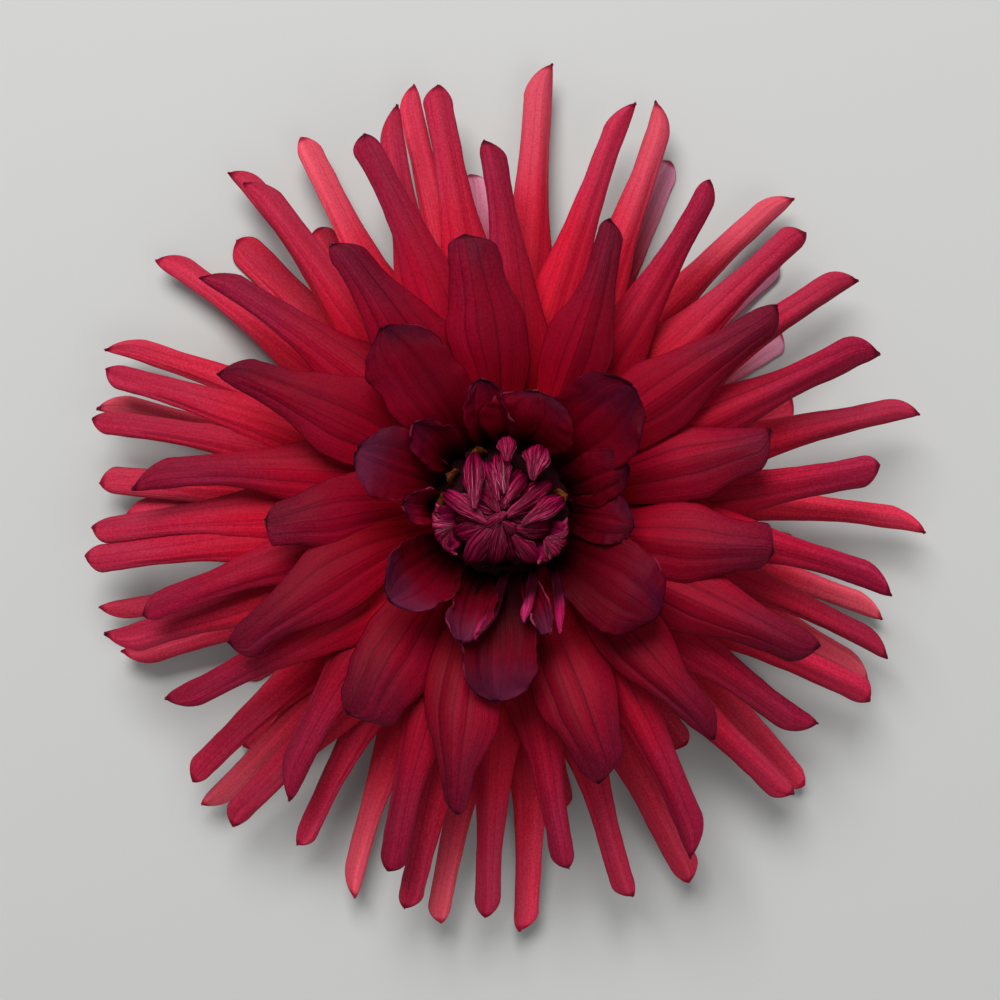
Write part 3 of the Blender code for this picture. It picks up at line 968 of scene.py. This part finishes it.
def toned(petals, draw, shaded=False, south_shade=0.0):
    """The petals, each with a tone of its own. In rows with a south shade, the tone of petals below the heart
    is darkened as painted shade; where shaded, petals below the heart and the shaded cups get a shade value
    that paints shadow from their roots.
    """
    done = []
    for petal in petals:
        below = max(-math.cos(math.radians(petal.bearing)), 0.0)
        shade = max(below**0.5, 0.75 if petal.bearing in SHADED_CUPS else 0.0)
        done.append(
            replace(
                petal,
                # Painted shade: a south shade raises the tone, which darkens the colour, of petals below the
                # heart.
                tone=min(draw.random() * (1 - 0.3 * south_shade) + south_shade * below, 1.0),
                faded=float(petal.bearing in FADED_TIPS + PINK_BACKS + DUSKY_TIPS),
                shade=shade if shaded else 0.0,
            )
        )
    return done


def blades(name, petals, tree, node, slot, face, back, thickness=0.34, **sizes):
    """One piece of petals, grown by the geometry nodes and given its thickness."""
    source = bpy.data.objects.new(name + "_source", petal_points(name + "_points", petals))
    bpy.context.scene.collection.objects.link(source)
    grow = source.modifiers.new("grow", "NODES")
    grow.node_group = tree.group
    chosen = {
        "Faces across": 20,
        "Faces along": 40,
        "Slimness": 1.0,
        "Flatness": 0.55,
        "Fold height": 0.5 * MM,
        "Groove depth": 0.3 * MM,
        "Rib height": 0.1 * MM,
        "Pleats": 16.0,
        "Pleat height": 0.03 * MM,
        "Crumple": 0.8 * MM,
        "Frill": 0.0,
        "Unevenness": 0.35,
        "Lowest": 0.55 * MM,
        "Finish": face,
    }
    chosen.update(sizes)
    for label, value in chosen.items():
        grow[tree.inputs[label]] = value
    bpy.context.view_layer.update()
    graph = bpy.context.evaluated_depsgraph_get()
    mesh = bpy.data.meshes.new_from_object(source.evaluated_get(graph))
    bpy.data.objects.remove(source)
    piece = bpy.data.objects.new(name, mesh)
    bpy.context.scene.collection.objects.link(piece)
    if not mesh.materials:
        mesh.materials.append(face)
    mesh.materials.append(back)
    wall = piece.modifiers.new("wall", "SOLIDIFY")
    wall.thickness = thickness * MM
    wall.offset = -1
    wall.material_offset = 1
    return seated(piece, node)


def seated(piece, node):
    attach(piece, "root")
    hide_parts(node)
    return piece


def turned(name, profile, finish, node, sides=64, wander=0.0, ribs=0):
    """A round piece from the (radius, height) corners of its outer side, bottom to top, closed at both ends."""
    draw = random.Random(name)
    body = bmesh.new()
    rings = []
    for radius, height in profile:
        around = []
        for i in range(sides):
            angle = 2 * math.pi * i / sides
            grown = radius * (1 + (0.02 * math.cos(ribs * angle) if ribs else 0))
            grown += wander * draw.uniform(-1, 1)
            around.append(
                body.verts.new(
                    (
                        (AXIS_X + grown * math.sin(angle)) * MM,
                        (AXIS_Y + grown * math.cos(angle)) * MM,
                        height * MM,
                    )
                )
            )
        rings.append(around)
    for lower, upper in zip(rings, rings[1:]):
        for i in range(sides):
            j = (i + 1) % sides
            body.faces.new((lower[i], lower[j], upper[j], upper[i]))
    body.faces.new(rings[0])
    body.faces.new(rings[-1])
    bmesh.ops.recalc_face_normals(body, faces=body.faces)
    mesh = bpy.data.meshes.new(name)
    body.to_mesh(mesh)
    body.free()
    mesh.materials.append(finish)
    mesh.shade_smooth()
    mesh.set_sharp_from_angle(angle=math.radians(50))
    piece = bpy.data.objects.new(name, mesh)
    bpy.context.scene.collection.objects.link(piece)
    return seated(piece, node)


def make_petals(tree):
    draw = random.Random(SEED + 2)
    # The lead and second rows get painted shade below the heart through their tone.
    rows = [
        toned(row, draw, south_shade=south_shade)
        for row, south_shade in zip(open_rows(), (0.8, 0.5, 0.0, 0.0, 0.0))
    ]
    pink_back = back_finish("petal_underside", (0.42, 0.02, 0.07), (0.70, 0.20, 0.30))
    dark_back = back_finish("dark_underside", (0.12, 0.004, 0.02), (0.24, 0.04, 0.08))
    lead = petal_finish(
        "lead_crimson",
        root=(0.40, 0.0002, 0.009),
        middle=(0.31, 0.0006, 0.017),
        tip=(0.155, 0.001, 0.018),
        margin=(0.030, 0.0003, 0.005),
        bloom=(0.23, 0.014, 0.040),
        vein_and_groove_shade=0.85,
        turn=0.58,
    )
    rose = petal_finish(
        "back_rose",
        root=(0.62, 0.0002, 0.006),
        middle=(0.68, 0.010, 0.034),
        tip=(0.64, 0.020, 0.056),
        margin=(0.30, 0.001, 0.022),
        bloom=(0.74, 0.080, 0.130),
        vein_and_groove_shade=0.45,
        faded=(1.0, 0.50, 0.68),
    )
    second = petal_finish(
        "second_crimson",
        root=(0.52, 0.0002, 0.009),
        middle=(0.45, 0.0015, 0.021),
        tip=(0.33, 0.006, 0.038),
        margin=(0.09, 0.0004, 0.012),
        bloom=(0.44, 0.030, 0.075),
        vein_and_groove_shade=0.7,
    )
    third = petal_finish(
        "third_crimson",
        root=(0.63, 0.0002, 0.009),
        middle=(0.60, 0.004, 0.026),
        tip=(0.50, 0.016, 0.056),
        margin=(0.17, 0.0005, 0.016),
        bloom=(0.58, 0.055, 0.105),
        vein_and_groove_shade=0.55,
    )
    fourth = petal_finish(
        "fourth_scarlet",
        root=(0.68, 0.0002, 0.009),
        middle=(0.74, 0.008, 0.034),
        tip=(0.70, 0.030, 0.075),
        margin=(0.30, 0.001, 0.022),
        bloom=(0.78, 0.090, 0.150),
        vein_and_groove_shade=0.45,
        faded=(0.84, 0.11, 0.15),
    )
    looks = (
        ("lead_petals", lead, {"Faces across": 28, "Faces along": 48, "Fold height": 0.9 * MM}),
        ("second_petals", second, {"Fold height": 0.7 * MM}),
        ("third_petals", third, {}),
        ("fourth_petals", fourth, {"Groove depth": 0.2 * MM}),
        ("back_petals", rose, {"Crumple": 0.4 * MM}),
    )
    for row, (name, face, sizes) in zip(rows, looks):
        blades(name, row, tree, "open_petals", "crimson_petal", face, pink_back, **sizes)
    cupped = petal_finish(
        "cupped_maroon",
        # Painted shade: the nearly black root stands for the shadow in the hollow round the heart.
        root=(0.055, 0.0001, 0.003),
        middle=(0.19, 0.0002, 0.009),
        tip=(0.044, 0.0004, 0.010),
        margin=(0.016, 0.0003, 0.005),
        bloom=(0.080, 0.005, 0.024),
        edge=(0.30, 0.030, 0.085),
        faded=(0.15, 0.016, 0.048),
        vein_and_groove_shade=0.45,
        softness=0.5,
        turn=0.66,
        gloss=0.03,
    )
    blades(
        "cupped_petals",
        toned(cupped_row(), draw, shaded=True),
        tree,
        "young_petals",
        "maroon_petal",
        cupped,
        dark_back,
        **{
            "Faces across": 32,
            "Faces along": 44,
            "Flatness": 1.0,
            "Frill": 3.2 * MM,
            "Fold height": -0.8 * MM,
            "Unevenness": 0.6,
        },
    )


def make_heart(tree):
    draw = random.Random(SEED + 3)
    inner = back_finish("floret_inside", (0.17, 0.0008, 0.03), (0.44, 0.012, 0.10))
    magenta = floret_finish(
        "floret_magenta",
        ground=(0.075, 0.0003, 0.011),
        ridge=(0.32, 0.004, 0.058),
        edge=(0.62, 0.070, 0.170),
        silver_and_highlight=(0.56, 0.180, 0.280),
    )
    bright = floret_finish(
        "stray_magenta",
        ground=(0.30, 0.001, 0.045),
        ridge=(0.50, 0.010, 0.12),
        edge=(0.70, 0.10, 0.22),
        silver_and_highlight=(0.62, 0.14, 0.26),
        start=0.66,
    )
    relief = {
        "Faces across": 28,
        "Faces along": 32,
        "Slimness": 2.0,
        "Flatness": 1.0,
        "Pleats": 15.0,
        "Pleat height": 0.11 * MM,
        "Groove depth": 0.1 * MM,
        "Rib height": -0.12 * MM,
        "Fold height": 0.0,
        "Crumple": 0.9 * MM,
        "Unevenness": 0.9,
    }
    blades(
        "florets",
        toned(heart_florets(), draw, shaded=True),
        tree,
        "heart",
        "magenta_floret",
        inner,
        magenta,
        thickness=0.35,
        **relief,
    )
    blades(
        "stray_florets",
        toned(stray_florets(), draw),
        tree,
        "young_petals",
        "magenta_floret",
        bright,
        bright,
        thickness=0.35,
        **relief,
    )
    # Painted shade: the heart's flesh and the scale ring are nearly black, to read as the shadow between
    # florets and scales.
    dark = flesh_finish("heart_flesh_painted_shade", (0.016, 0.0005, 0.003), (0.034, 0.001, 0.006), 400, gloss=0.06)
    turned(
        "heart_core",
        ((8.1, 30.3), (8.1, 33), (7.6, 36.0), (4.0, 38.6)),
        dark,
        "heart",
    )
    ochre = petal_finish(
        "ochre_scale",
        root=(0.14, 0.05, 0.01),
        middle=(0.26, 0.070, 0.008),
        tip=(0.20, 0.048, 0.006),
        margin=(0.10, 0.02, 0.006),
        bloom=(0.34, 0.12, 0.03),
        vein_and_groove_shade=0.5,
        lit_from=0.9,
    )
    # Scales below the heart get a shade value; with lit_from at 0.9 it paints them nearly black as painted
    # shade.
    scales = [
        replace(SCALE, bearing=bearing, reach=reach, tip_height=tip_height)
        for bearing, reach, tip_height in SCALE_PLACES
    ]
    blades(
        "scales",
        toned(scales, draw, shaded=True),
        tree,
        "ochre_scales",
        "ochre_scale",
        ochre,
        ochre,
        thickness=0.5,
        **{
            "Faces across": 10,
            "Faces along": 16,
            "Fold height": 0.0,
            "Groove depth": 0.0,
            "Crumple": 0.4 * MM,
        },
    )
    turned(
        "scale_ring",
        ((10.5, 30.3), (10.5, 31.2), (8.6, 31.6)),
        dark,
        "ochre_scales",
    )


def make_calyx(tree):
    draw = random.Random(SEED + 4)
    green = petal_finish(
        "sepal_green",
        root=(0.16, 0.22, 0.06),
        middle=(0.17, 0.26, 0.07),
        tip=(0.20, 0.24, 0.08),
        margin=(0.10, 0.14, 0.04),
        bloom=(0.30, 0.36, 0.18),
        vein_and_groove_shade=0.5,
    )
    papery = petal_finish(
        "bract_papery",
        root=(0.22, 0.24, 0.09),
        middle=(0.36, 0.30, 0.14),
        tip=(0.30, 0.20, 0.10),
        margin=(0.22, 0.13, 0.06),
        bloom=(0.48, 0.42, 0.26),
        vein_and_groove_shade=0.6,
    )
    stem = flesh_finish("stem_green", (0.14, 0.20, 0.06), (0.20, 0.27, 0.09), 300)
    # Painted shade: the petal core is dark crimson like the petal roots, darkened to read as the shadow between
    # them.
    flesh = flesh_finish("petal_root_painted_shade", (0.07, 0.0003, 0.003), (0.13, 0.0005, 0.005), 250, gloss=0.04)
    turned(
        "stem_and_cup",
        ((3.0, 0.6), (3.2, 0.8), (3.2, 6.5), (4.6, 9.0), (9.0, 11.0), (12.4, 12.2), (13.4, 14.0)),
        stem,
        "green_calyx",
        sides=72,
        ribs=9,
    )
    sepals = [replace(SEPAL, bearing=30 + i * 360 / SEPALS) for i in range(SEPALS)]
    bracts = [replace(BRACT, bearing=8 + i * 360 / BRACTS) for i in range(BRACTS)]
    blades(
        "sepals",
        toned(sepals, draw),
        tree,
        "green_calyx",
        "green_leaf",
        green,
        green,
        thickness=0.9,
        **{"Groove depth": 0.2 * MM, "Crumple": 1.0 * MM},
    )
    blades(
        "bracts", toned(bracts, draw), tree, "green_calyx", "green_leaf", papery, papery, thickness=0.4
    )
    turned(
        "petal_core",
        ((14.2, 14.3), (15.4, 17.5), (15.0, 21.5), (13.6, 25.0)),
        flesh,
        "open_petals",
    )
    # Painted shade: the young button is nearly black, as the shadow round the heart.
    dark = flesh_finish("button_flesh_painted_shade", (0.016, 0.0005, 0.003), (0.034, 0.001, 0.006), 300, gloss=0.06)
    turned(
        "young_button",
        ((13.2, 25.3), (13.4, 27.6), (12.4, 30.0)),
        dark,
        "young_petals",
    )


def make_studio():
    scene = bpy.context.scene
    scene.view_settings.view_transform = "Standard"
    floor_mesh = bpy.data.meshes.new("floor")
    side = 1.5
    floor_mesh.from_pydata(
        [(-side, -side, 0), (side, -side, 0), (side, side, 0), (-side, side, 0)],
        [],
        [(0, 1, 2, 3)],
    )
    floor = bpy.data.objects.new("floor", floor_mesh)
    pale = bpy.data.materials.new("pale_floor")
    pale.use_nodes = True
    pale.node_tree.nodes["Principled BSDF"].inputs["Base Color"].default_value = (0.50, 0.50, 0.485, 1)
    pale.node_tree.nodes["Principled BSDF"].inputs["Roughness"].default_value = 0.9
    floor_mesh.materials.append(pale)
    scene.collection.objects.link(floor)
    world = bpy.data.worlds.new("studio")
    world.use_nodes = True
    world.node_tree.nodes["Background"].inputs["Color"].default_value = (0.92, 0.96, 1.0, 1)
    world.node_tree.nodes["Background"].inputs["Strength"].default_value = 0.26
    scene.world = world
    for name, place, size, power in (
        ("window", (-0.2, 0.75, 1.05), 0.8, 19.5),
        ("fill", (0.5, -0.5, 1.0), 0.8, 2.0),
    ):
        lamp = bpy.data.lights.new(name, "AREA")
        lamp.shape = "DISK"
        lamp.size = size
        lamp.energy = power
        light = bpy.data.objects.new(name, lamp)
        light.location = place
        scene.collection.objects.link(light)
        toward = -light.location
        light.rotation_mode = "QUATERNION"
        light.rotation_quaternion = toward.to_track_quat("-Z", "Y")
    lens = bpy.data.cameras.new("camera")
    lens.sensor_width = 36
    lens.lens = 36 * 420 / 200
    camera = bpy.data.objects.new("camera", lens)
    camera.location = (-0.0012, -0.0008, 0.420)
    scene.collection.objects.link(camera)
    scene.camera = camera


def main():
    tree = PetalTree("petal_rule")
    make_petals(tree)
    make_heart(tree)
    make_calyx(tree)
    make_studio()


main()
